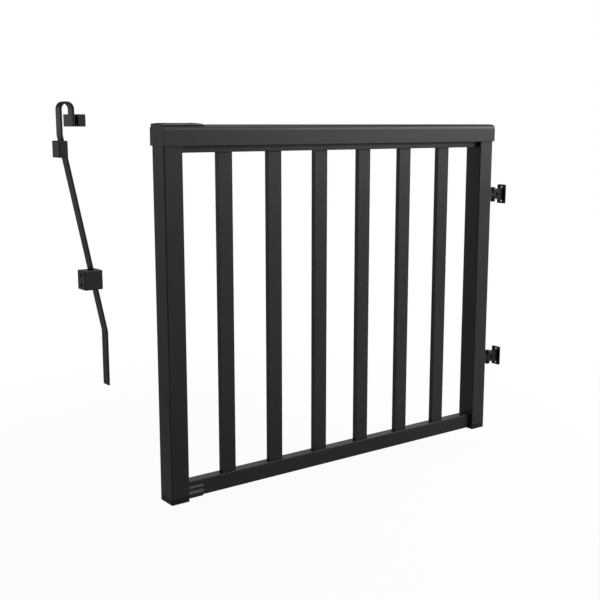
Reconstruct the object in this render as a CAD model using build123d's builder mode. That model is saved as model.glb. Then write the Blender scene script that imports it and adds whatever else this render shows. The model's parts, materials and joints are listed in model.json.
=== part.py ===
"""Picket gate: a powder-coated aluminium leaf on two pin hinges, with its latch set alongside.

Frame: the origin is the centre of the lower hinge's post face, +X points from the gate towards the
hinge post, +Y from the front of the gate to its back and +Z up. Lengths are in millimetres.
"""

import os
from math import atan2, cos, degrees, radians, sin, sqrt

from build123d import *

# Gate leaf
gate_width = 1000.0
gate_height = 842.1
stile_width = 45.5
stile_depth = 52.2
stile_wall = 2.0
stile_corner = 2.2
foot_cap_height = 14.5
foot_cap_spigot = 16.0
foot_cap_chamfer = 0.4
foot_cap_groove = 0.8

# Rail cap over the top rail and the stiles
cap_proud = 5.5
cap_height = 45.2
cap_wall = 2.0
cap_crown = 2.2
cap_shoulder = 11.0
cap_end_length = 7.5
cap_end_wall = 1.5
cap_end_chamfer = 0.3

# Rails
rail_depth = 26.8
rail_wall = 1.8
rail_corner = 1.5
bottom_rail_height = 38.1
bottom_rail_lift = 3.4
top_rail_show = 15.1

# Pickets
picket_count = 6
picket_width = 38.1
picket_depth = 13.2
picket_wall = 1.4
picket_corner = 1.0
picket_engagement = 14.0
end_gap_extra = 2.7

# Ribbed bracket that cradles the bottom rail's latch end
bracket_length = 42.0
bracket_floor = 1.2
bracket_wall = 1.6
bracket_height = 27.3
bracket_ribs = ((22.9, 2.4), (9.4, 3.4))
bracket_rib_slope = 0.55

# Strike plate, a saddle over the cap's latch end
strike_length = 100.0
strike_inset = 0.6
strike_thickness = 3.0
strike_shoulder = 9.5
strike_skirt_rise = 0.4
strike_slope = 11.0
strike_ease = 4.0
strike_ease_depth = 1.6

# Hinges
hinge_gap = 72.0
lower_hinge_height = 193.0
hinge_spacing = 459.0
leaf_width = 29.0
leaf_height = 52.0
leaf_thickness = 3.0
leaf_corner = 3.0
leaf_hole = 5.2
leaf_hole_edge = 7.0
knuckle_diameter = 17.0
barrel_height = 24.8
gate_knuckle_height = 8.0
knuckle_gap = 0.4
arm_depth = 14.0
arm_flare = 34.0
arm_slot_reach = 13.0
arm_window_height = 10.0
arm_window_length = 13.0
gate_arm_depth = 16.0
gate_arm_flare = 28.0
gate_arm_clearance = 12.0
set_screw_bore = 4.5
set_screw_depth = 3.2
set_screw_rise = 1.2
set_screw_turn = 36.0
pin_diameter = 8.0
pin_head_flats = 11.5
pin_head_height = 7.0
pin_head_chamfer = 0.8

# Latch set, measured from the gate's left face and foot
strap_width = 25.0
strap_thickness = 4.0
strap_corner = 1.5
strap_leg_offset = 218.6
strap_tail_offset = 136.0
strap_upper_bend = 821.0
strap_lower_bend = 414.0
strap_tail_end = 298.0
strap_bend_radius = 40.0
hook_span = 26.0
hook_centre = 872.0
head_bottom = 837.6
head_height = 24.5
head_depth = 48.5
head_length = 17.0
head_neck = 6.3
head_neck_inset = 5.0
head_neck_depth = 28.0
head_chamfer = 1.2
guide_depth = 35.3
guide_chamfer = 1.5
upper_guide_middle = 793.5
upper_guide_height = 33.5
upper_guide_left = 15.4
upper_guide_right = 3.6
lower_guide_middle = 526.0
lower_guide_height = 40.2
lower_guide_left = 26.2
lower_guide_right = 14.1
guide_screw_recess = 8.0
guide_screw_depth = 4.0
guide_screw_spacing = 20.5

# Clearances
running_clearance = 0.05
slot_clearance = 0.25
seat_clearance = 0.1

# Places worked out from the sizes above
pin_x = -hinge_gap / 2
gate_right = -hinge_gap
gate_left = gate_right - gate_width
gate_foot = -lower_hinge_height
gate_top = gate_foot + gate_height
opening_left = gate_left + stile_width
opening_right = gate_right - stile_width
opening_width = opening_right - opening_left
gate_middle = (gate_left + gate_right) / 2

cap_depth = stile_depth + 2 * cap_proud
cap_bottom = gate_top - cap_height
cap_edge = gate_top - cap_crown
crown_radius = ((cap_depth / 2) ** 2 + cap_crown**2) / (2 * cap_crown)
crown_centre = gate_top - crown_radius

bottom_rail_foot = gate_foot + bottom_rail_lift
bottom_rail_top = bottom_rail_foot + bottom_rail_height
top_rail_foot = cap_bottom - top_rail_show
top_rail_top = crown_centre + sqrt((crown_radius - cap_wall) ** 2 - (rail_depth / 2) ** 2) - seat_clearance

picket_gap = (opening_width - picket_count * picket_width - 2 * end_gap_extra) / (picket_count + 1)
picket_pitch = picket_gap + picket_width
picket_places = [
    (gate_middle + (n - (picket_count - 1) / 2) * picket_pitch, 0) for n in range(picket_count)
]

os.makedirs("parts", exist_ok=True)

# Crowned section of the rail cap, outside and inside, with depth across and height up
with BuildSketch() as cap_outside:
    with BuildLine():
        Polyline(
            (-cap_depth / 2, cap_edge),
            (-cap_depth / 2, cap_bottom),
            (cap_depth / 2, cap_bottom),
            (cap_depth / 2, cap_edge),
        )
        ThreePointArc((cap_depth / 2, cap_edge), (0, gate_top), (-cap_depth / 2, cap_edge))
    make_face()
    fillet(cap_outside.vertices().group_by(Axis.Y)[-1], radius=cap_shoulder)

cap_bore = cap_depth - 2 * cap_wall
cap_inner_edge = crown_centre + sqrt((crown_radius - cap_wall) ** 2 - (cap_bore / 2) ** 2)
with BuildSketch() as cap_inside:
    with BuildLine():
        Polyline(
            (-cap_bore / 2, cap_inner_edge),
            (-cap_bore / 2, cap_bottom),
            (cap_bore / 2, cap_bottom),
            (cap_bore / 2, cap_inner_edge),
        )
        ThreePointArc(
            (cap_bore / 2, cap_inner_edge), (0, gate_top - cap_wall), (-cap_bore / 2, cap_inner_edge)
        )
    make_face()
    fillet(cap_inside.vertices().group_by(Axis.Y)[-1], radius=cap_shoulder - cap_wall)

# Rail cap: an inverted channel that drops over the top rail and the stiles
cap_start = gate_left - cap_end_wall + cap_end_length
cap_run = gate_right + cap_end_wall - cap_end_length - cap_start
with BuildPart() as rail_cap:
    with BuildSketch(Plane.YZ.offset(cap_start)):
        add(cap_outside.sketch)
        add(cap_inside.sketch, mode=Mode.SUBTRACT)
    extrude(amount=cap_run)
rail_cap.part.label = "rail_cap"
export_step(rail_cap.part, "parts/rail_cap.step")

# Cap ends: short moulded caps in the same section, with a wall over the stile's outer face
for side, outer_x, inward in (
    ("left", gate_left - cap_end_wall, 1),
    ("right", gate_right + cap_end_wall, -1),
):
    with BuildPart() as cap_end:
        with BuildSketch(Plane.YZ.offset(outer_x)):
            add(cap_outside.sketch)
        extrude(amount=inward * cap_end_length)
        end_face = cap_end.faces().sort_by(Axis.X)[0 if inward > 0 else -1]
        chamfer(end_face.edges(), length=cap_end_chamfer)
        with BuildSketch(Plane.YZ.offset(outer_x + inward * cap_end_wall)):
            add(cap_inside.sketch)
        extrude(amount=inward * cap_end_length, mode=Mode.SUBTRACT)
    cap_end.part.label = f"{side}_cap_end"
    export_step(cap_end.part, f"parts/{side}_cap_end.step")

# Stiles: rectangular tubes from the foot cap up into the rail cap, and the moulded foot caps
stile_foot = gate_foot + foot_cap_height
stile_top = cap_edge - cap_shoulder
stile_bore_width = stile_width - 2 * stile_wall
stile_bore_depth = stile_depth - 2 * stile_wall
for side, stile_x in (
    ("left", gate_left + stile_width / 2),
    ("right", gate_right - stile_width / 2),
):
    with BuildPart() as stile:
        with BuildSketch(Plane.XY.offset(stile_foot)):
            with Locations((stile_x, 0)):
                RectangleRounded(stile_width, stile_depth, stile_corner)
                Rectangle(stile_bore_width, stile_bore_depth, mode=Mode.SUBTRACT)
        extrude(amount=stile_top - stile_foot)
    stile.part.label = f"{side}_stile"
    export_step(stile.part, f"parts/{side}_stile.step")

    with BuildPart() as foot_cap:
        with BuildSketch(Plane.XY.offset(gate_foot)):
            with Locations((stile_x, 0)):
                RectangleRounded(stile_width, stile_depth, stile_corner)
        extrude(amount=foot_cap_height)
        chamfer(foot_cap.faces().sort_by(Axis.Z)[0].edges(), length=foot_cap_chamfer)
        chamfer(foot_cap.faces().sort_by(Axis.Z)[-1].edges(), length=foot_cap_groove)
        with BuildSketch(Plane.XY.offset(stile_foot)):
            with Locations((stile_x, 0)):
                Rectangle(stile_bore_width - 2 * slot_clearance, stile_bore_depth - 2 * slot_clearance)
        extrude(amount=foot_cap_spigot)
    foot_cap.part.label = f"{side}_foot_cap"
    export_step(foot_cap.part, f"parts/{side}_foot_cap.step")

# Rails: tubes between the stiles, slotted on the side that takes the pickets
slot_width = picket_width + 2 * slot_clearance
slot_depth = picket_depth + 2 * slot_clearance
for name, rail_foot, rail_top, slotted_z, cut_depth in (
    ("top_rail", top_rail_foot, top_rail_top, top_rail_foot, rail_wall),
    ("bottom_rail", bottom_rail_foot, bottom_rail_top, bottom_rail_top, -rail_wall),
):
    with BuildPart() as rail:
        with BuildSketch(Plane.YZ.offset(opening_left)):
            with Locations((0, (rail_foot + rail_top) / 2)):
                RectangleRounded(rail_depth, rail_top - rail_foot, rail_corner)
                Rectangle(
                    rail_depth - 2 * rail_wall, rail_top - rail_foot - 2 * rail_wall, mode=Mode.SUBTRACT
                )
        extrude(amount=opening_width)
        with BuildSketch(Plane.XY.offset(slotted_z)):
            with Locations(picket_places):
                Rectangle(slot_width, slot_depth)
        extrude(amount=cut_depth, mode=Mode.SUBTRACT)
    rail.part.label = name
    export_step(rail.part, f"parts/{name}.step")

# Pickets: flat tubes that stand on the bottom rail's floor and run up into the top rail
picket_foot = bottom_rail_foot + rail_wall
picket_top = top_rail_foot + picket_engagement
for number, place in enumerate(picket_places, start=1):
    with BuildPart() as picket:
        with BuildSketch(Plane.XY.offset(picket_foot)):
            with Locations(place):
                RectangleRounded(picket_width, picket_depth, picket_corner)
                Rectangle(
                    picket_width - 2 * picket_wall, picket_depth - 2 * picket_wall, mode=Mode.SUBTRACT
                )
        extrude(amount=picket_top - picket_foot)
    picket.part.label = f"picket_{number}"
    export_step(picket.part, f"parts/picket_{number}.step")

# Rail bracket: a cradle under the bottom rail's latch end, with two sloped ribs along each side
bracket_foot = bottom_rail_foot - bracket_floor
bracket_top = bottom_rail_foot + bracket_height
bracket_bore = rail_depth + 2 * seat_clearance
bracket_side = bracket_bore / 2 + bracket_wall
with BuildPart() as left_rail_bracket:
    with BuildSketch(Plane.YZ.offset(opening_left)):
        with Locations((0, bracket_foot)):
            Rectangle(2 * bracket_side, bracket_top - bracket_foot, align=(Align.CENTER, Align.MIN))
        for rib_lip, rib_reach in bracket_ribs:
            lip_z = bottom_rail_foot + rib_lip
            rib_top = lip_z + rib_reach / bracket_rib_slope
            with BuildLine():
                Polyline(
                    (-bracket_side - rib_reach, lip_z),
                    (bracket_side + rib_reach, lip_z),
                    (bracket_side, min(rib_top, bracket_top)),
                    (-bracket_side, min(rib_top, bracket_top)),
                    close=True,
                )
            make_face()
        with Locations((0, bottom_rail_foot)):
            Rectangle(
                bracket_bore, 2 * bracket_height, align=(Align.CENTER, Align.MIN), mode=Mode.SUBTRACT
            )
    extrude(amount=bracket_length)
left_rail_bracket.part.label = "left_rail_bracket"
export_step(left_rail_bracket.part, "parts/left_rail_bracket.step")

# Strike plate: a wear plate saddled on the crown, sloped at its inner end and eased at the latch end
strike_left = gate_left - cap_end_wall
strike_right = strike_left + strike_length
strike_top = gate_top + strike_thickness
strike_edge = cap_edge + strike_thickness
strike_skirt = cap_edge + strike_skirt_rise
strike_half = cap_depth / 2 - strike_inset
with BuildSketch() as strike_section:
    with BuildLine():
        Polyline(
            (-strike_half, strike_edge),
            (-strike_half, cap_bottom),
            (strike_half, cap_bottom),
            (strike_half, strike_edge),
        )
        ThreePointArc((strike_half, strike_edge), (0, strike_top), (-strike_half, strike_edge))
    make_face()
    fillet(strike_section.vertices().group_by(Axis.Y)[-1], radius=strike_shoulder)
    with Locations((0, strike_skirt)):
        Rectangle(cap_depth, cap_height, align=(Align.CENTER, Align.MAX), mode=Mode.SUBTRACT)
with BuildPart() as strike_plate:
    with BuildSketch(Plane.YZ.offset(strike_left)):
        add(strike_section.sketch)
    extrude(amount=strike_length)
    with BuildSketch(Plane.XZ):
        with BuildLine():
            Polyline(
                (strike_right - strike_slope, strike_top),
                (strike_right, gate_top),
                (strike_right, strike_top),
                close=True,
            )
        make_face()
        with BuildLine():
            Polyline(
                (strike_left + strike_ease, strike_top),
                (strike_left, strike_top - strike_ease_depth),
                (strike_left, strike_top),
                close=True,
            )
        make_face()
    extrude(amount=cap_depth / 2, both=True, mode=Mode.SUBTRACT)
    with BuildSketch(Plane.YZ.offset(strike_left)):
        add(cap_outside.sketch)
        offset(amount=seat_clearance)
    extrude(amount=strike_length, mode=Mode.SUBTRACT)
strike_plate.part.label = "strike_plate"
export_step(strike_plate.part, "parts/strike_plate.step")

# Hinges: a post leaf with a forked, flared arm, a gate leaf with one knuckle, and a headed pin
bore_radius = pin_diameter / 2 + running_clearance
knuckle_radius = knuckle_diameter / 2
hole_reach = leaf_height / 2 - leaf_hole_edge
fork_opening = gate_knuckle_height + 2 * knuckle_gap
gate_arm_end = pin_x - gate_arm_clearance
gate_arm_start = gate_right + leaf_thickness
pin_end = barrel_height / 2 + knuckle_gap
set_screw_plane = Plane(
    origin=(pin_x, 0, 0),
    x_dir=(cos(radians(set_screw_turn)), -sin(radians(set_screw_turn)), 0),
    z_dir=(-sin(radians(set_screw_turn)), -cos(radians(set_screw_turn)), 0),
)
for where, hinge_z in (("lower", 0.0), ("upper", hinge_spacing)):
    hole_places = [(0, hinge_z - hole_reach), (0, hinge_z + hole_reach)]
    with BuildPart() as post_leaf:
        with BuildSketch(Plane.YZ):
            with Locations((0, hinge_z)):
                RectangleRounded(leaf_width, leaf_height, leaf_corner)
            with Locations(hole_places):
                Circle(leaf_hole / 2, mode=Mode.SUBTRACT)
        extrude(amount=-leaf_thickness)
        with BuildSketch(Plane.XZ):
            with BuildLine():
                Polyline(
                    (-leaf_thickness, hinge_z - arm_flare / 2),
                    (-leaf_thickness, hinge_z + arm_flare / 2),
                    (pin_x + knuckle_radius, hinge_z + barrel_height / 2),
                    (pin_x, hinge_z + barrel_height / 2),
                    (pin_x, hinge_z - barrel_height / 2),
                    (pin_x + knuckle_radius, hinge_z - barrel_height / 2),
                    close=True,
                )
            make_face()
        extrude(amount=arm_depth / 2, both=True)
        with BuildSketch(Plane.XY.offset(hinge_z - barrel_height / 2)):
            with Locations((pin_x, 0)):
                Circle(knuckle_radius)
        extrude(amount=barrel_height)
        with BuildSketch(Plane.XZ):
            with Locations((pin_x - knuckle_diameter, hinge_z)):
                Rectangle(
                    knuckle_diameter + arm_slot_reach, fork_opening, align=(Align.MIN, Align.CENTER)
                )
            with BuildLine():
                Polyline(
                    (-leaf_thickness, hinge_z - arm_window_height / 2),
                    (-leaf_thickness, hinge_z + arm_window_height / 2),
                    (-leaf_thickness - arm_window_length, hinge_z),
                    close=True,
                )
            make_face()
        extrude(amount=knuckle_diameter, both=True, mode=Mode.SUBTRACT)
        with BuildSketch(Plane.XY.offset(hinge_z - barrel_height / 2)):
            with Locations((pin_x, 0)):
                Circle(bore_radius)
        extrude(amount=barrel_height, mode=Mode.SUBTRACT)
    post_leaf.part.label = f"{where}_hinge_post_leaf"
    export_step(post_leaf.part, f"parts/{where}_hinge_post_leaf.step")

    with BuildPart() as gate_leaf:
        with BuildSketch(Plane.YZ.offset(gate_right)):
            with Locations((0, hinge_z)):
                RectangleRounded(leaf_width, leaf_height, leaf_corner)
            with Locations(hole_places):
                Circle(leaf_hole / 2, mode=Mode.SUBTRACT)
        extrude(amount=leaf_thickness)
        with BuildSketch(Plane.XZ):
            with BuildLine():
                Polyline(
                    (gate_arm_start, hinge_z - gate_arm_flare / 2),
                    (gate_arm_start, hinge_z + gate_arm_flare / 2),
                    (gate_arm_end, hinge_z + barrel_height / 2),
                    (gate_arm_end, hinge_z - barrel_height / 2),
                    close=True,
                )
            make_face()
        extrude(amount=gate_arm_depth / 2, both=True)
        with BuildSketch(Plane.XY.offset(hinge_z - gate_knuckle_height / 2)):
            with Locations((pin_x, 0)):
                Rectangle(
                    gate_arm_clearance, gate_arm_depth, align=(Align.MAX, Align.CENTER)
                )
                Circle(knuckle_radius)
                Circle(bore_radius, mode=Mode.SUBTRACT)
        extrude(amount=gate_knuckle_height)
        with BuildSketch(set_screw_plane.offset(knuckle_radius)):
            with Locations((0, hinge_z + set_screw_rise)):
                Circle(set_screw_bore / 2)
        extrude(amount=-set_screw_depth, mode=Mode.SUBTRACT)
    gate_leaf.part.label = f"{where}_hinge_gate_leaf"
    export_step(gate_leaf.part, f"parts/{where}_hinge_gate_leaf.step")

    with BuildPart() as pin:
        with BuildSketch(Plane.XY.offset(hinge_z - pin_end)):
            with Locations((pin_x, 0)):
                Circle(pin_diameter / 2)
        extrude(amount=2 * pin_end)
        with BuildSketch(Plane.XY.offset(hinge_z - pin_end)):
            with Locations((pin_x, 0)):
                RegularPolygon(pin_head_flats / 2, 6, major_radius=False)
        extrude(amount=-pin_head_height)
        with BuildSketch(Plane.XY.offset(hinge_z + pin_end)):
            with Locations((pin_x, 0)):
                RegularPolygon(pin_head_flats / 2, 6, major_radius=False)
        extrude(amount=pin_head_height)
        head_tops = pin.faces().sort_by(Axis.Z)
        chamfer(head_tops[0].edges() + head_tops[-1].edges(), length=pin_head_chamfer)
    pin.part.label = f"{where}_hinge_pin"
    export_step(pin.part, f"parts/{where}_hinge_pin.step")

# Latch strap: a flat bar hooked over at the top, offset along its middle and plumb again at its tail
leg_x = gate_left - strap_leg_offset
tail_x = gate_left - strap_tail_offset
short_leg_x = leg_x + hook_span
upper_bend_z = gate_foot + strap_upper_bend
lower_bend_z = gate_foot + strap_lower_bend
tail_end_z = gate_foot + strap_tail_end
hook_z = gate_foot + hook_centre
head_z = gate_foot + head_bottom
head_middle = (head_depth - strap_width) / 2
with BuildPart() as latch_strap:
    with BuildLine(Plane.XZ) as strap_path:
        Line((short_leg_x, head_z), (short_leg_x, hook_z))
        ThreePointArc(
            (short_leg_x, hook_z),
            ((short_leg_x + leg_x) / 2, hook_z + hook_span / 2),
            (leg_x, hook_z),
        )
        FilletPolyline(
            (leg_x, hook_z),
            (leg_x, upper_bend_z),
            (tail_x, lower_bend_z),
            (tail_x, tail_end_z),
            radius=strap_bend_radius,
        )
    with BuildSketch(Plane.XY.offset(head_z)):
        with Locations((short_leg_x, 0)):
            RectangleRounded(strap_thickness, strap_width, strap_corner)
    sweep()
    with BuildSketch(Plane.XY.offset(head_z)):
        with Locations((short_leg_x, head_middle)):
            RectangleRounded(strap_thickness, head_depth, strap_corner)
    extrude(amount=head_height)
latch_strap.part.label = "latch_strap"
export_step(latch_strap.part, "parts/latch_strap.step")

# Latch head: a moulded block on a neck against the plate at the strap's end
head_face = short_leg_x + strap_thickness / 2
with BuildPart() as latch_head:
    with BuildSketch(Plane.YZ.offset(head_face + head_neck)):
        with Locations((head_middle, head_z + head_height / 2)):
            Rectangle(head_depth, head_height)
    extrude(amount=head_length)
    chamfer(latch_head.edges(), length=head_chamfer)
    with BuildSketch(Plane.YZ.offset(head_face)):
        with Locations((head_middle, head_z + head_height / 2)):
            Rectangle(head_neck_depth, head_height - 2 * head_neck_inset)
    extrude(amount=head_neck)
latch_head.part.label = "latch_head"
export_step(latch_head.part, "parts/latch_head.step")

# Latch guides: moulded blocks that the strap's sloping run passes through
strap_lean = atan2(tail_x - leg_x, upper_bend_z - lower_bend_z)
strap_run = Vector(sin(strap_lean), 0, -cos(strap_lean))
for where, middle, height, left, right in (
    ("upper", upper_guide_middle, upper_guide_height, upper_guide_left, upper_guide_right),
    ("lower", lower_guide_middle, lower_guide_height, lower_guide_left, lower_guide_right),
):
    guide_z = gate_foot + middle
    strap_x = leg_x + (tail_x - leg_x) * (upper_bend_z - guide_z) / (upper_bend_z - lower_bend_z)
    with BuildPart() as guide:
        with BuildSketch(Plane.XY.offset(guide_z - height / 2)):
            with Locations((strap_x + (right - left) / 2, 0)):
                Rectangle(left + right, guide_depth)
        extrude(amount=height)
        chamfer(guide.edges(), length=guide_chamfer)
        with BuildSketch(Plane(origin=(strap_x, 0, guide_z), x_dir=(0, 1, 0), z_dir=strap_run)):
            Rectangle(strap_width + 2 * slot_clearance, strap_thickness + 2 * slot_clearance)
        extrude(amount=height, both=True, mode=Mode.SUBTRACT)
        if where == "lower":
            recess_places = [(0, guide_z + side * guide_screw_spacing / 2) for side in (-1, 1)]
            with BuildSketch(Plane.YZ.offset(strap_x - left)):
                with Locations(recess_places):
                    Circle(guide_screw_recess / 2)
            extrude(amount=guide_screw_depth, mode=Mode.SUBTRACT)
    guide.part.label = f"{where}_latch_guide"
    export_step(guide.part, f"parts/{where}_latch_guide.step")

print(f"picket gap {picket_gap:.2f}, strap lean {degrees(strap_lean):.2f}")
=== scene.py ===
"""Looks of the picket gate: its coatings, mouldings and screws, a white studio and the camera."""

import json
import logging
import math
from dataclasses import dataclass, field
from enum import Enum
from typing import Any, Iterable, Sequence

import bmesh
import bpy
from mathutils import Matrix, Vector


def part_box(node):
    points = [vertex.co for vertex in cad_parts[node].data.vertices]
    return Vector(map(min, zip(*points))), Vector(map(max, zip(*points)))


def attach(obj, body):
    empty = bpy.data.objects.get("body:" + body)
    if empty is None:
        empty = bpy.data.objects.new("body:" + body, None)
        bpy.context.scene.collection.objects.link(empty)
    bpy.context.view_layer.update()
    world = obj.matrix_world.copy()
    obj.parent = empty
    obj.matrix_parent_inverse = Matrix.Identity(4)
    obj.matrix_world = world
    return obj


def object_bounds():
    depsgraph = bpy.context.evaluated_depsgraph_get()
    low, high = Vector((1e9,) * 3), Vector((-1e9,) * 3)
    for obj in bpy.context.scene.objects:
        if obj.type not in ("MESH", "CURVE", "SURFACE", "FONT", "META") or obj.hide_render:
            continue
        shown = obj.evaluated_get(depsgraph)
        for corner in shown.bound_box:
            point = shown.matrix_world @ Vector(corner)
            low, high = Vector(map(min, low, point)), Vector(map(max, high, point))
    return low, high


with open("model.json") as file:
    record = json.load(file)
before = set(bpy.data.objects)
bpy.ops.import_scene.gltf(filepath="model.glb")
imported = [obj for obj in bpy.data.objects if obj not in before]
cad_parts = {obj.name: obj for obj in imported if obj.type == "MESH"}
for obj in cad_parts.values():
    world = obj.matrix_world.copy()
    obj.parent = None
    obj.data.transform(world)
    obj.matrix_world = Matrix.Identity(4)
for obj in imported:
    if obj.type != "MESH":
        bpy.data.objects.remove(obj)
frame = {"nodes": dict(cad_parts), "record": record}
cad_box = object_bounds()

log = logging.getLogger("picket_gate")

MM = 0.001

# A Mix node's colour sockets go by number, because its data types share their names
MIX_SHARE, MIX_FIRST, MIX_SECOND, MIX_COLOUR = 0, 6, 7, 2

# A face that looks this nearly along a screw's axis is the top of its head
TOP_FACE_COSINE = 0.9


class Body(Enum):
    """The two bodies that pieces ride on."""

    POST = "post_hardware"
    GATE = "gate"


class Slot(Enum):
    """Material slots of the record."""

    GATE_COAT = "gate_coat"
    CAP_MOULDING = "cap_moulding"
    HINGE_COAT = "hinge_coat"
    HINGE_PIN = "hinge_pin"
    LATCH_COAT = "latch_coat"
    LATCH_MOULDING = "latch_moulding"


class Facing(Enum):
    """Which way a screw's head faces."""

    LEFT = (-1.0, 0.0, 0.0)
    RIGHT = (1.0, 0.0, 0.0)
    UP = (0.0, 0.0, 1.0)
    DOWN = (0.0, 0.0, -1.0)


def linear_colour(code: str) -> tuple[float, float, float, float]:
    """Turn an sRGB hex colour into a linear one.

    Args:
        code: six hex digits after a hash sign.

    Returns:
        Linear red, green and blue with an alpha of 1.
    """
    channels = [int(code[i : i + 2], 16) / 255 for i in (1, 3, 5)]
    red, green, blue = (c / 12.92 if c <= 0.04045 else ((c + 0.055) / 1.055) ** 2.4 for c in channels)
    return red, green, blue, 1.0


def add_node(
    tree: bpy.types.NodeTree, kind: str, values: dict[Any, Any], links: dict[Any, bpy.types.NodeSocket]
) -> bpy.types.Node:
    """Add one shader node.

    Args:
        tree: the node tree that takes it.
        kind: the node's Blender type.
        values: settings by attribute name, or by socket as ("in", name) pairs.
        links: output sockets to link, by input name or number.

    Returns:
        The new node.
    """
    node = tree.nodes.new(kind)
    for key, value in values.items():
        if isinstance(key, tuple):
            node.inputs[key[1]].default_value = value
        else:
            setattr(node, key, value)
    for key, socket in links.items():
        tree.links.new(socket, node.inputs[key])
    return node


def new_material(name: str) -> tuple[bpy.types.Material, bpy.types.NodeTree]:
    """Make an empty node material.

    Args:
        name: the finish's name.

    Returns:
        The material and its node tree.
    """
    material = bpy.data.materials.new(name)
    material.use_nodes = True
    material.node_tree.nodes.clear()
    return material, material.node_tree


def seen_rays(tree: bpy.types.NodeTree) -> bpy.types.NodeSocket:
    """Tell rays that show the background from rays that only light the gate.

    Args:
        tree: the node tree that asks.

    Returns:
        A socket that is 1 for camera, glossy and transmission rays and 0 for the rest.
    """
    path = add_node(tree, "ShaderNodeLightPath", {}, {})
    direct = add_node(
        tree,
        "ShaderNodeMath",
        {"operation": "MAXIMUM"},
        {0: path.outputs["Is Camera Ray"], 1: path.outputs["Is Glossy Ray"]},
    )
    either = add_node(
        tree,
        "ShaderNodeMath",
        {"operation": "MAXIMUM"},
        {0: direct.outputs[0], 1: path.outputs["Is Transmission Ray"]},
    )
    return either.outputs[0]


@dataclass(frozen=True)
class PowderCoat:
    """Polyester powder coat on metal: sprayed dry and baked, it flows out to a satin orange peel.

    The peel's waves are 1 to 3 mm across, and the gloss drifts slowly over a hand's breadth.
    """

    name: str
    pigment: str
    deep_tone_and_pit_shade: str
    roughness_low: float
    roughness_high: float
    specular: float
    peel_mm: float = 1.6
    peel_height_mm: float = 0.02
    peel_detail: float = 3.0
    peel_fineness: float = 0.55
    peel_strength: float = 0.35
    cloud_mm: float = 90.0
    cloud_detail: float = 2.0
    cloud_low: float = 0.3
    cloud_high: float = 0.7

    def material(self) -> bpy.types.Material:
        """Build the coat: peel as bump, slow clouds in gloss and a faint drift in its black.

        Returns:
            The coat's material.
        """
        material, tree = new_material(self.name)
        place = add_node(tree, "ShaderNodeTexCoord", {}, {})
        peel = add_node(
            tree,
            "ShaderNodeTexNoise",
            {
                ("in", "Scale"): 1 / (self.peel_mm * MM),
                ("in", "Detail"): self.peel_detail,
                ("in", "Roughness"): self.peel_fineness,
            },
            {"Vector": place.outputs["Object"]},
        )
        cloud = add_node(
            tree,
            "ShaderNodeTexNoise",
            {("in", "Scale"): 1 / (self.cloud_mm * MM), ("in", "Detail"): self.cloud_detail},
            {"Vector": place.outputs["Object"]},
        )
        gloss = add_node(
            tree,
            "ShaderNodeMapRange",
            {
                ("in", "From Min"): self.cloud_low,
                ("in", "From Max"): self.cloud_high,
                ("in", "To Min"): self.roughness_low,
                ("in", "To Max"): self.roughness_high,
            },
            {"Value": cloud.outputs["Fac"]},
        )
        black = add_node(
            tree,
            "ShaderNodeMix",
            {
                "data_type": "RGBA",
                ("in", MIX_FIRST): linear_colour(self.pigment),
                ("in", MIX_SECOND): linear_colour(self.deep_tone_and_pit_shade),
            },
            {MIX_SHARE: peel.outputs["Fac"]},
        )
        bump = add_node(
            tree,
            "ShaderNodeBump",
            {("in", "Strength"): self.peel_strength, ("in", "Distance"): self.peel_height_mm * MM},
            {"Height": peel.outputs["Fac"]},
        )
        coat = add_node(
            tree,
            "ShaderNodeBsdfPrincipled",
            {("in", "Specular IOR Level"): self.specular},
            {
                "Base Color": black.outputs[MIX_COLOUR],
                "Roughness": gloss.outputs["Result"],
                "Normal": bump.outputs["Normal"],
            },
        )
        add_node(tree, "ShaderNodeOutputMaterial", {}, {"Surface": coat.outputs["BSDF"]})
        return material


@dataclass(frozen=True)
class MouldedNylon:
    """Glass-filled nylon, injection moulded: a spark-eroded mould leaves a fine even matte grain.

    The real grain, of about 0.1 mm, is too fine to show, so it is drawn coarser.
    """

    name: str
    pigment: str
    deep_tone_and_pit_shade: str
    roughness: float
    specular: float
    grain_mm: float = 0.9
    grain_height_mm: float = 0.03
    grain_strength: float = 0.3

    def material(self) -> bpy.types.Material:
        """Build the moulding: a fine cell grain as bump, with painted shade that darkens its colour in the
        grain's pits.

        Returns:
            The moulding's material.
        """
        material, tree = new_material(self.name)
        place = add_node(tree, "ShaderNodeTexCoord", {}, {})
        grain = add_node(
            tree,
            "ShaderNodeTexVoronoi",
            {("in", "Scale"): 1 / (self.grain_mm * MM)},
            {"Vector": place.outputs["Object"]},
        )
        # Painted shade: the deeper colour falls in the grain's pits, the hollows of the bump
        black = add_node(
            tree,
            "ShaderNodeMix",
            {
                "data_type": "RGBA",
                ("in", MIX_FIRST): linear_colour(self.deep_tone_and_pit_shade),
                ("in", MIX_SECOND): linear_colour(self.pigment),
            },
            {MIX_SHARE: grain.outputs["Distance"]},
        )
        bump = add_node(
            tree,
            "ShaderNodeBump",
            {("in", "Strength"): self.grain_strength, ("in", "Distance"): self.grain_height_mm * MM},
            {"Height": grain.outputs["Distance"]},
        )
        nylon = add_node(
            tree,
            "ShaderNodeBsdfPrincipled",
            {("in", "Roughness"): self.roughness, ("in", "Specular IOR Level"): self.specular},
            {"Base Color": black.outputs[MIX_COLOUR], "Normal": bump.outputs["Normal"]},
        )
        add_node(tree, "ShaderNodeOutputMaterial", {}, {"Surface": nylon.outputs["BSDF"]})
        return material


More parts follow.
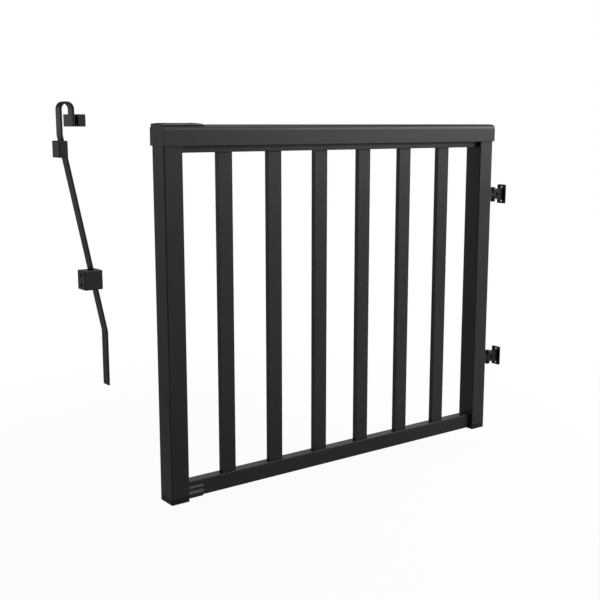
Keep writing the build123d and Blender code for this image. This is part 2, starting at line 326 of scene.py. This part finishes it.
@dataclass(frozen=True)
class BlackedSteel:
    """Steel with a black oxide finish, dipped hot: dark and glossier than the coat, with faint flecks.

    Real flecks are finer than the picture can show, so they are drawn coarser.
    """

    name: str
    oxide: str
    oxide_light: str
    roughness_low: float = 0.32
    roughness_high: float = 0.48
    fleck_mm: float = 1.2
    fleck_detail: float = 4.0

    def material(self) -> bpy.types.Material:
        """Build the oxide: flecks in its colour and gloss over a dark dielectric base.

        Returns:
            The oxide's material.
        """
        material, tree = new_material(self.name)
        place = add_node(tree, "ShaderNodeTexCoord", {}, {})
        fleck = add_node(
            tree,
            "ShaderNodeTexNoise",
            {("in", "Scale"): 1 / (self.fleck_mm * MM), ("in", "Detail"): self.fleck_detail},
            {"Vector": place.outputs["Object"]},
        )
        gloss = add_node(
            tree,
            "ShaderNodeMapRange",
            {("in", "To Min"): self.roughness_low, ("in", "To Max"): self.roughness_high},
            {"Value": fleck.outputs["Fac"]},
        )
        dark = add_node(
            tree,
            "ShaderNodeMix",
            {
                "data_type": "RGBA",
                ("in", MIX_FIRST): linear_colour(self.oxide),
                ("in", MIX_SECOND): linear_colour(self.oxide_light),
            },
            {MIX_SHARE: fleck.outputs["Fac"]},
        )
        steel = add_node(
            tree,
            "ShaderNodeBsdfPrincipled",
            {},
            {"Base Color": dark.outputs[MIX_COLOUR], "Roughness": gloss.outputs["Result"]},
        )
        add_node(tree, "ShaderNodeOutputMaterial", {}, {"Surface": steel.outputs["BSDF"]})
        return material


@dataclass(frozen=True)
class PaleFloor:
    """Matt white studio floor: it keeps the gate's soft shadow and runs out to the white behind it."""

    name: str = "matt_white_floor"
    paint: str = "#f6f6f6"
    paint_as_light: str = "#8c8c8c"
    shade_kept: float = 0.07
    shade_near: float = 0.7
    shade_far: float = 1.7

    def material(self, middle: Vector) -> bpy.types.Material:
        """Build the floor: part lit paint and part plain white to look at, and clear from below.

        Args:
            middle: the point round which the floor keeps its shade; it fades out further away.

        Returns:
            The floor's material.
        """
        material, tree = new_material(self.name)
        place = add_node(tree, "ShaderNodeTexCoord", {}, {})
        away = add_node(
            tree,
            "ShaderNodeVectorMath",
            {"operation": "DISTANCE", ("in", 1): tuple(middle)},
            {0: place.outputs["Object"]},
        )
        white_share = add_node(
            tree,
            "ShaderNodeMapRange",
            {
                "interpolation_type": "SMOOTHSTEP",
                ("in", "From Min"): self.shade_near,
                ("in", "From Max"): self.shade_far,
                ("in", "To Min"): 1 - self.shade_kept,
                ("in", "To Max"): 1.0,
            },
            {"Value": away.outputs["Value"]},
        )
        seen = seen_rays(tree)
        tint = add_node(
            tree,
            "ShaderNodeMix",
            {
                "data_type": "RGBA",
                ("in", MIX_FIRST): linear_colour(self.paint_as_light),
                ("in", MIX_SECOND): linear_colour(self.paint),
            },
            {MIX_SHARE: seen},
        )
        paint = add_node(tree, "ShaderNodeBsdfDiffuse", {}, {"Color": tint.outputs[MIX_COLOUR]})
        white = add_node(tree, "ShaderNodeEmission", {("in", "Strength"): 1.0}, {})
        share = add_node(
            tree,
            "ShaderNodeMath",
            {"operation": "MULTIPLY"},
            {0: seen, 1: white_share.outputs["Result"]},
        )
        mixed = add_node(
            tree,
            "ShaderNodeMixShader",
            {},
            {0: share.outputs[0], 1: paint.outputs["BSDF"], 2: white.outputs["Emission"]},
        )
        side = add_node(tree, "ShaderNodeNewGeometry", {}, {})
        clear = add_node(tree, "ShaderNodeBsdfTransparent", {}, {})
        one_sided = add_node(
            tree,
            "ShaderNodeMixShader",
            {},
            {0: side.outputs["Backfacing"], 1: mixed.outputs["Shader"], 2: clear.outputs["BSDF"]},
        )
        add_node(tree, "ShaderNodeOutputMaterial", {}, {"Surface": one_sided.outputs["Shader"]})
        return material


def nodes_in(slot: Slot) -> list[str]:
    """List the CAD nodes that take a finish.

    Args:
        slot: the record's material slot.

    Returns:
        The nodes' names, in the record's order.
    """
    return [row["node"] for row in frame["record"]["subparts"] if row["material_slot"] == slot.value]


def dress(nodes: Iterable[str], material: bpy.types.Material) -> None:
    """Give CAD nodes a finish.

    Args:
        nodes: names of the nodes.
        material: the finish for all their slots.
    """
    for name in nodes:
        mesh = frame["nodes"][name].data
        mesh.materials.clear()
        mesh.materials.append(material)
        log.info("dressed %s in %s", name, material.name)


def add_object(name: str, shape: bmesh.types.BMesh, material: bpy.types.Material) -> bpy.types.Object:
    """Make an object of a finished shape and put it in the scene.

    Args:
        name: the object's name.
        shape: its shape, which is freed.
        material: its finish.

    Returns:
        The new object.
    """
    mesh = bpy.data.meshes.new(name)
    shape.to_mesh(mesh)
    shape.free()
    mesh.materials.append(material)
    made = bpy.data.objects.new(name, mesh)
    bpy.context.scene.collection.objects.link(made)
    return made


def make_piece(
    name: str, shape: bmesh.types.BMesh, material: bpy.types.Material, body: Body
) -> None:
    """Turn a finished bmesh into a piece that rides on a body.

    Args:
        name: the piece's name.
        shape: its shape, which is freed.
        material: its finish.
        body: the body that carries it.
    """
    bmesh.ops.recalc_face_normals(shape, faces=shape.faces)
    piece = add_object(name, shape, material)
    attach(piece, body.value)
    log.info("built %s on %s", name, body.value)


def seat_matrix(seat: Vector, facing: Facing) -> Matrix:
    """Work out where a screw's head goes.

    Args:
        seat: the point on the surface at the head's middle.
        facing: the way the head faces.

    Returns:
        The matrix that takes a head that faces up at the origin to its seat.
    """
    turn = Vector(facing.value).to_track_quat("Z", "Y").to_matrix().to_4x4()
    return Matrix.Translation(seat) @ turn


@dataclass
class HexScrew:
    """A self-drilling screw's head: a flange with a hexagon on it."""

    flange_radius: float = 5.5 * MM
    flange_height: float = 1.1 * MM
    flange_taper: float = 0.93
    flange_sides: int = 28
    across_flats: float = 8.0 * MM
    head_height: float = 4.2 * MM
    rounding: float = 0.225 * MM
    rounding_steps: int = 2

    def add(self, shape: bmesh.types.BMesh, seat: Vector, facing: Facing) -> None:
        """Add one head to a shape.

        Args:
            shape: the bmesh that collects the heads.
            seat: the point on the surface under the head's middle.
            facing: the way the head faces.
        """
        place = seat_matrix(seat, facing)
        flange = bmesh.ops.create_cone(
            shape,
            cap_ends=True,
            segments=self.flange_sides,
            radius1=self.flange_radius,
            radius2=self.flange_radius * self.flange_taper,
            depth=self.flange_height,
            matrix=place @ Matrix.Translation((0, 0, self.flange_height / 2)),
        )
        hexagon_height = self.head_height - self.flange_height
        hexagon = bmesh.ops.create_cone(
            shape,
            cap_ends=True,
            segments=6,
            radius1=self.across_flats / math.sqrt(3),
            radius2=self.across_flats / math.sqrt(3),
            depth=hexagon_height,
            matrix=place @ Matrix.Translation((0, 0, self.flange_height + hexagon_height / 2)),
        )
        for part in (flange, hexagon):
            rim = {edge for vert in part["verts"] for edge in vert.link_edges}
            bmesh.ops.bevel(
                shape,
                geom=list(rim),
                offset=self.rounding,
                offset_type="OFFSET",
                segments=self.rounding_steps,
                profile=0.5,
                affect="EDGES",
                material=-1,
            )


@dataclass
class FlatScrew:
    """A countersunk screw's head, almost flush in its seat, with a round socket drive."""

    radius: float = 3.6 * MM
    seat_taper: float = 0.8
    sides: int = 24
    proud: float = 0.25 * MM
    sunk: float = 0.8 * MM
    socket_radius: float = 1.364 * MM
    socket_depth: float = 0.7 * MM

    def add(self, shape: bmesh.types.BMesh, seat: Vector, facing: Facing) -> None:
        """Add one head to a shape.

        Args:
            shape: the bmesh that collects the heads.
            seat: the point on the surface at the head's middle.
            facing: the way the head faces.
        """
        depth = self.proud + self.sunk
        head = bmesh.ops.create_cone(
            shape,
            cap_ends=True,
            segments=self.sides,
            radius1=self.radius * self.seat_taper,
            radius2=self.radius,
            depth=depth,
            matrix=seat_matrix(seat, facing) @ Matrix.Translation((0, 0, self.proud - depth / 2)),
        )
        axis = Vector(facing.value)
        faces = {face for vert in head["verts"] for face in vert.link_faces}
        tops = [face for face in faces if face.normal.dot(axis) > TOP_FACE_COSINE]
        bmesh.ops.inset_region(shape, faces=tops, thickness=self.radius - self.socket_radius)
        socket = bmesh.ops.extrude_discrete_faces(shape, faces=tops)["faces"]
        sunk = {vert for face in socket for vert in face.verts}
        bmesh.ops.translate(shape, verts=list(sunk), vec=-axis * self.socket_depth)


@dataclass
class GateLeaf:
    """The swinging leaf: stiles, rails, cap, pickets, bracket and the plate on the cap."""

    coat: PowderCoat
    end_moulding: MouldedNylon
    foot_moulding: MouldedNylon
    fixing: BlackedSteel
    under_screw: FlatScrew = field(default_factory=FlatScrew)
    plate_screw: FlatScrew = field(default_factory=lambda: FlatScrew(radius=4.2 * MM))
    plate_screw_inset: float = 18.0 * MM

    def dress(self) -> None:
        """Finish the leaf's CAD nodes."""
        dress(nodes_in(Slot.GATE_COAT), self.coat.material())
        moulded = nodes_in(Slot.CAP_MOULDING)
        dress((name for name in moulded if name.endswith("cap_end")), self.end_moulding.material())
        dress((name for name in moulded if name.endswith("foot_cap")), self.foot_moulding.material())

    def build_under_screws(self, steel: bpy.types.Material) -> None:
        """Put a screw under each picket and under the bracket.

        Args:
            steel: the screws' finish.
        """
        shape = bmesh.new()
        rail_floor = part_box("bottom_rail")[0].z
        for name in nodes_in(Slot.GATE_COAT):
            if name.startswith("picket_"):
                low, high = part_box(name)
                seat = Vector(((low.x + high.x) / 2, (low.y + high.y) / 2, rail_floor))
                self.under_screw.add(shape, seat, Facing.DOWN)
        low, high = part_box("left_rail_bracket")
        seat = Vector(((low.x + high.x) / 2, (low.y + high.y) / 2, low.z))
        self.under_screw.add(shape, seat, Facing.DOWN)
        make_piece("under_rail_screws", shape, steel, Body.GATE)

    def build_plate_screws(self, steel: bpy.types.Material) -> None:
        """Put a screw near each end of the strike plate.

        Args:
            steel: the screws' finish.
        """
        shape = bmesh.new()
        low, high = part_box("strike_plate")
        for along in (low.x + self.plate_screw_inset, high.x - self.plate_screw_inset):
            seat = Vector((along, (low.y + high.y) / 2, high.z))
            self.plate_screw.add(shape, seat, Facing.UP)
        make_piece("strike_plate_screws", shape, steel, Body.GATE)

    def build(self) -> None:
        """Add the leaf's own screws."""
        steel = self.fixing.material()
        self.build_under_screws(steel)
        self.build_plate_screws(steel)


@dataclass
class HingePair:
    """Both pin hinges, with the screws that hold their gate leaves to the stile."""

    coat: PowderCoat
    pin: BlackedSteel
    screw: HexScrew = field(default_factory=HexScrew)
    hole_edge: float = 7.0 * MM
    leaf_thickness: float = 3.0 * MM

    def dress(self) -> None:
        """Finish the leaves and pins."""
        # The leaves' coat has its black deepened as painted shade, for hinges that sit in shade
        dress(nodes_in(Slot.HINGE_COAT), self.coat.material())
        dress(nodes_in(Slot.HINGE_PIN), self.pin.material())

    def build(self) -> None:
        """Add the heads in the gate leaves' holes."""
        shape = bmesh.new()
        for leaf in ("lower_hinge_gate_leaf", "upper_hinge_gate_leaf"):
            low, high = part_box(leaf)
            for height in (low.z + self.hole_edge, high.z - self.hole_edge):
                seat = Vector((low.x + self.leaf_thickness, (low.y + high.y) / 2, height))
                self.screw.add(shape, seat, Facing.RIGHT)
        make_piece("hinge_screws", shape, self.pin.material(), Body.GATE)


@dataclass
class LatchSet:
    """The strap latch beside the gate: bent strap, head and two guides."""

    coat: PowderCoat
    moulding: MouldedNylon
    fixing: BlackedSteel
    screw: FlatScrew = field(default_factory=lambda: FlatScrew(radius=3.3 * MM, socket_depth=0.6 * MM))
    recess_depth: float = 4.0 * MM
    screw_spacing: float = 20.5 * MM

    def dress(self) -> None:
        """Finish the strap and its mouldings."""
        dress(nodes_in(Slot.LATCH_COAT), self.coat.material())
        dress(nodes_in(Slot.LATCH_MOULDING), self.moulding.material())

    def build(self) -> None:
        """Add the screws at the bottom of the lower guide's recesses."""
        shape = bmesh.new()
        low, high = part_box("lower_latch_guide")
        middle = (low + high) / 2
        for rise in (-self.screw_spacing / 2, self.screw_spacing / 2):
            seat = Vector((low.x + self.recess_depth, middle.y, middle.z + rise))
            self.screw.add(shape, seat, Facing.LEFT)
        make_piece("latch_guide_screws", shape, self.fixing.material(), Body.POST)


@dataclass(frozen=True)
class Softbox:
    """One soft rectangular lamp, with its place and aim from the gate's middle, in metres and watts."""

    name: str
    place: tuple[float, float, float]
    aim: tuple[float, float, float]
    size: tuple[float, float]
    power: float

    def build(self, middle: Vector) -> None:
        """Hang the lamp and turn it to its aim.

        Args:
            middle: the middle of the gate's box.
        """
        lamp = bpy.data.lights.new(self.name, "AREA")
        lamp.shape = "RECTANGLE"
        lamp.size, lamp.size_y = self.size
        lamp.energy = self.power
        holder = bpy.data.objects.new(self.name, lamp)
        holder.location = middle + Vector(self.place)
        holder.rotation_euler = (Vector(self.aim) - Vector(self.place)).to_track_quat("-Z", "Y").to_euler()
        bpy.context.scene.collection.objects.link(holder)


@dataclass(frozen=True)
class Band:
    """One level of the ring of cards, with its heights above the floor in metres."""

    name: str
    bottom: float
    top: float


@dataclass(frozen=True)
class Card:
    """One upright card: the turn that it spans round the gate and its shade in each band, low to high."""

    name: str
    start_deg: float
    end_deg: float
    shades: tuple[float, float, float]


@dataclass
class CardRing:
    """Cards round the gate that only its gloss sees: pale behind it, dark at the camera and the key lamp."""

    radius: float = 3.4
    bands: tuple[Band, ...] = (Band("low", 0.0, 0.8), Band("middle", 0.8, 1.5), Band("high", 1.5, 4.5))
    cards: tuple[Card, ...] = (
        Card("camera_card", 170.0, 272.0, (0.05, 0.05, 0.05)),
        Card("front_card", 272.0, 306.0, (0.4, 0.8, 1.0)),
        Card("key_card", 306.0, 340.0, (0.5, 0.05, 0.05)),
        Card("right_card", 340.0, 390.0, (1.0, 1.0, 0.05)),
        Card("back_card", 30.0, 75.0, (1.0, 1.0, 0.05)),
        Card("left_card", 75.0, 170.0, (0.4, 0.78, 0.05)),
    )
    card_steps: int = 12
    mat_shade: float = 0.3
    mat_sides: int = 48
    pool_from_middle: tuple[float, float, float] = (1.3, -1.2, 0.001)
    pool_radius: float = 1.3
    pool_shade: float = 0.55

    def hang(self, name: str, shape: bmesh.types.BMesh, shade: float) -> None:
        """Hang one card that neither the camera nor the lamps see.

        Args:
            name: the card's name.
            shape: its shape, which is freed.
            shade: how bright it looks in the gloss, where 1 is white.
        """
        material, tree = new_material(name)
        glow = add_node(tree, "ShaderNodeEmission", {("in", "Strength"): shade}, {})
        add_node(tree, "ShaderNodeOutputMaterial", {}, {"Surface": glow.outputs["Emission"]})
        card = add_object(name, shape, material)
        card.visible_camera = False
        card.visible_diffuse = False
        card.visible_transmission = False
        card.visible_shadow = False

    def build_upright(self, middle: Vector) -> None:
        """Stand the cards in a ring, band over band.

        Args:
            middle: the ring's middle on the floor.
        """
        for card in self.cards:
            turn = math.radians(card.start_deg)
            foot = middle + self.radius * Vector((math.cos(turn), math.sin(turn), 0))
            for band, shade in zip(self.bands, card.shades):
                shape = bmesh.new()
                low = shape.verts.new(foot + Vector((0, 0, band.bottom)))
                high = shape.verts.new(foot + Vector((0, 0, band.top)))
                edge = shape.edges.new((low, high))
                bmesh.ops.spin(
                    shape,
                    geom=[low, high, edge],
                    cent=middle,
                    axis=(0, 0, 1),
                    angle=math.radians(card.end_deg - card.start_deg),
                    steps=self.card_steps,
                )
                self.hang(f"{card.name}_{band.name}", shape, shade)

    def build_flat(self, middle: Vector) -> None:
        """Lay a round mat in the ring and a paler pool on it.

        Args:
            middle: the ring's middle on the floor.
        """
        pool = middle + Vector(self.pool_from_middle)
        for name, place, radius, shade in (
            ("mat_card", middle, self.radius, self.mat_shade),
            ("pool_card", pool, self.pool_radius, self.pool_shade),
        ):
            shape = bmesh.new()
            bmesh.ops.create_circle(
                shape,
                cap_ends=True,
                segments=self.mat_sides,
                radius=radius,
                matrix=Matrix.Translation(place),
            )
            self.hang(name, shape, shade)

    def build(self, middle: Vector) -> None:
        """Set up all the cards.

        Args:
            middle: the ring's middle on the floor.
        """
        self.build_upright(middle)
        self.build_flat(middle)


@dataclass
class Studio:
    """White studio round the gate: floor, world, lamps and the camera that matches the photograph."""

    floor: PaleFloor = field(default_factory=PaleFloor)
    cards: CardRing = field(default_factory=CardRing)
    lamps: tuple[Softbox, ...] = (
        Softbox("overhead_box", (0.2, 0.5, 2.4), (0.0, 0.0, 0.0), (2.4, 1.6), 16.0),
        Softbox("right_key", (2.3, -1.3, 1.25), (0.4, 0.0, 0.2), (3.0, 1.6), 70.0),
    )
    floor_drop: float = 50 * MM
    floor_size: float = 30.0
    card_lift: float = 1.0 * MM
    ambient: float = 0.33
    eye_from_corner: tuple[float, float, float] = (-1.0206, -1.8631, 0.8427)
    yaw_deg: float = 36.454
    pitch_deg: float = 10.067
    lens_mm: float = 59.473

    def build_floor(self) -> None:
        """Lay the floor a little below the gate's feet, with the cards on it."""
        low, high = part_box("rail_cap")
        middle = (low + high) / 2
        middle.z = cad_box[0][2] - self.floor_drop
        shape = bmesh.new()
        bmesh.ops.create_grid(shape, x_segments=1, y_segments=1, size=self.floor_size / 2)
        bmesh.ops.translate(shape, verts=shape.verts, vec=Vector((0, 0, middle.z)))
        floor = add_object("floor", shape, self.floor.material(middle))
        self.cards.build(middle + Vector((0, 0, self.card_lift)))

    def build_world(self) -> None:
        """Make the world white to look at and a plain grey as light."""
        world = bpy.data.worlds.new("studio")
        bpy.context.scene.world = world
        world.use_nodes = True
        tree = world.node_tree
        tree.nodes.clear()
        white = add_node(tree, "ShaderNodeBackground", {("in", "Strength"): 1.0}, {})
        light = add_node(tree, "ShaderNodeBackground", {("in", "Strength"): self.ambient}, {})
        for background in (white, light):
            background.inputs["Color"].default_value = linear_colour("#ffffff")
        mixed = add_node(
            tree,
            "ShaderNodeMixShader",
            {},
            {0: seen_rays(tree), 1: light.outputs["Background"], 2: white.outputs["Background"]},
        )
        add_node(tree, "ShaderNodeOutputWorld", {}, {"Surface": mixed.outputs["Shader"]})

    def build_lamps(self) -> None:
        """Hang the lamps round the gate's middle."""
        middle = (Vector(cad_box[0]) + Vector(cad_box[1])) / 2
        for lamp in self.lamps:
            lamp.build(middle)

    def build_camera(self) -> None:
        """Stand the camera where the photograph was taken from, measured from the gate's front left foot."""
        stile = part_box("left_stile")[0]
        corner = Vector((stile.x, stile.y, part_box("left_foot_cap")[0].z))
        yaw, pitch = math.radians(self.yaw_deg), math.radians(self.pitch_deg)
        look = Vector(
            (math.sin(yaw) * math.cos(pitch), math.cos(yaw) * math.cos(pitch), -math.sin(pitch))
        )
        lens = bpy.data.cameras.new("photo_camera")
        lens.lens = self.lens_mm
        camera = bpy.data.objects.new("photo_camera", lens)
        camera.location = corner + Vector(self.eye_from_corner)
        camera.rotation_euler = look.to_track_quat("-Z", "Y").to_euler()
        bpy.context.scene.collection.objects.link(camera)
        bpy.context.scene.camera = camera

    def build(self) -> None:
        """Set up the whole studio."""
        bpy.context.scene.view_settings.view_transform = "Standard"
        self.build_floor()
        self.build_world()
        self.build_lamps()
        self.build_camera()


def main() -> None:
    """Dress the gate, add its screws and set up the studio."""
    # Coat on extruded aluminium: a satin black with broad, soft highlights along each face
    gate_coat = PowderCoat(
        "satin_black_powder_coat",
        pigment="#1c1c1c",
        deep_tone_and_pit_shade="#171717",
        roughness_low=0.38,
        roughness_high=0.46,
        specular=0.42,
    )
    # Coat on the hinges' steel: a flatter black, made deeper than the gate's as painted shade for the hinge
    # leaves that sit in shade
    hinge_coat = PowderCoat(
        "hinge_coat_with_painted_shade",
        pigment="#0f0f0f",
        deep_tone_and_pit_shade="#0b0b0b",
        roughness_low=0.4,
        roughness_high=0.5,
        specular=0.36,
    )
    # Coat on the bent aluminium strap: the same satin as the gate's
    latch_coat = PowderCoat(
        "strap_black_coat",
        pigment="#1c1c1c",
        deep_tone_and_pit_shade="#171717",
        roughness_low=0.38,
        roughness_high=0.46,
        specular=0.42,
    )
    # Smooth moulding that closes the cap: satin, so that it passes for the coat beside it
    end_nylon = MouldedNylon(
        "moulded_end_nylon", pigment="#1c1c1c", deep_tone_and_pit_shade="#151515", roughness=0.42, specular=0.42
    )
    # Rougher moulding under the stiles: dull and almost plain black
    foot_nylon = MouldedNylon(
        "moulded_foot_nylon", pigment="#121212", deep_tone_and_pit_shade="#0d0d0d", roughness=0.5, specular=0.28
    )
    # Moulding of the latch's head and guides: an even, soft black with blurred highlights
    latch_nylon = MouldedNylon(
        "moulded_latch_nylon", pigment="#1c1c1c", deep_tone_and_pit_shade="#151515", roughness=0.45, specular=0.42
    )
    # Oxide on the pins and screws: dark, with the sharpest gloss on the gate
    oxide = BlackedSteel("black_oxide_steel", oxide="#101010", oxide_light="#181818")

    for part in (
        GateLeaf(gate_coat, end_nylon, foot_nylon, oxide),
        HingePair(hinge_coat, oxide),
        LatchSet(latch_coat, latch_nylon, oxide),
    ):
        part.dress()
        part.build()
    Studio().build()


if __name__ == "__main__":
    logging.basicConfig(level=logging.INFO, format="%(name)s: %(message)s")
    main()
